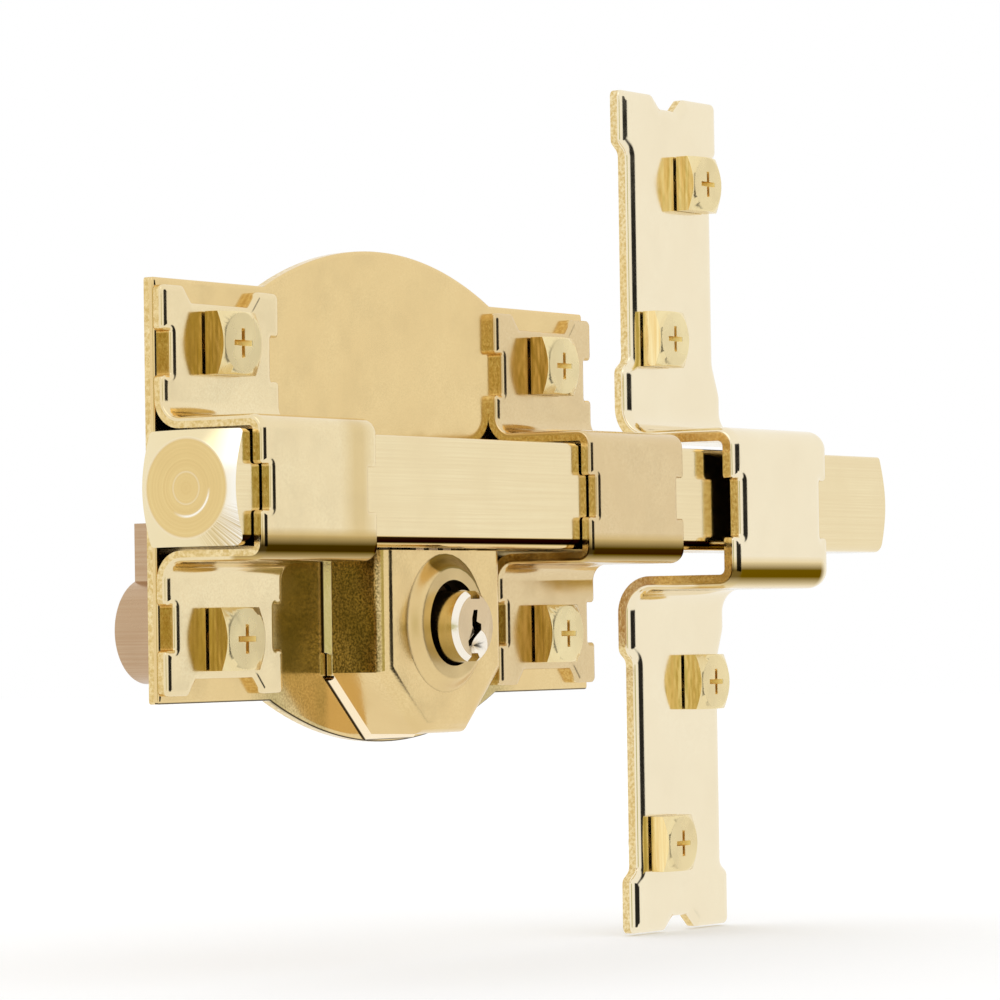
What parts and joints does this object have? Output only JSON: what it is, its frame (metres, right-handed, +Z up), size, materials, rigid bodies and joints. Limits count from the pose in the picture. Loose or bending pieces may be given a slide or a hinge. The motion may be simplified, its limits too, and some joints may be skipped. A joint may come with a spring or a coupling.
{
  "type": "surface rim bolt",
  "caption": "Surface-mounted rim bolt: a square bar slides in two hat-shaped straps, driven by a key cylinder through a rack and pinion, into a hat-shaped strike.",
  "frame": {"origin": "centre of the base plate's back face, which lies on the door", "axes": "+X along the bolt as it throws, +Y into the door, +Z up"},
  "size_m": [0.2493, 0.0879, 0.183],
  "materials": {
    "plated_sheet": "polished brass plating on steel sheet",
    "plated_strike": "polished pale brass plating on thick steel sheet",
    "plated_bar": "brushed brass plating on a steel bar",
    "plated_screw": "brass plating on turned steel",
    "plug_brass": "turned nickel brass",
    "raw_brass": "unplated brass, turned and milled",
    "steel": "bright steel"
  },
  "bodies": {
    "frame": {"base_plate": "plated_sheet", "left_guide_strap": "plated_sheet", "right_guide_strap": "plated_sheet", "cylinder_housing": "plated_sheet", "strap_screws": "plated_screw", "bolt_stop_pin": "steel", "strike": "plated_strike", "strike_screws": "plated_screw", "cylinder_barrel": "raw_brass", "barrel_screws": "steel", "driver_pins": "raw_brass", "pin_springs": "steel", "chamber_caps": "raw_brass"},
    "bolt_bar": {"bolt": "plated_bar"},
    "inner_drive": {"inner_plug": "plug_brass", "inner_key_pins": "raw_brass", "inner_plug_clip": "steel", "drive_pinion": "raw_brass", "pinion_set_screw": "steel", "plug_coupler": "raw_brass"},
    "outer_drive": {"outer_plug": "plug_brass", "outer_key_pins": "raw_brass", "outer_plug_clip": "steel"}
  },
  "joints": [
    {"name": "bolt_throw", "type": "slide", "parent": "frame", "child": "bolt_bar", "axis": [1, 0, 0], "range_m": [-0.09425, 0]},
    {"name": "inner_key_turn", "type": "hinge", "parent": "frame", "child": "inner_drive", "pos_m": [0, 0, -0.0262], "axis": [0, 1, 0], "range_deg": [-360.1, 0]},
    {"name": "outer_key_turn", "type": "hinge", "parent": "frame", "child": "outer_drive", "pos_m": [0, 0.045, -0.0262], "axis": [0, 1, 0], "range_deg": [-360.1, 0]}
  ],
  "couplings": [
    {"joint": "inner_key_turn", "follows": "bolt_throw", "rad_per_m": 66.667},
    {"joint": "outer_key_turn", "follows": "bolt_throw", "rad_per_m": 66.667}
  ]
}
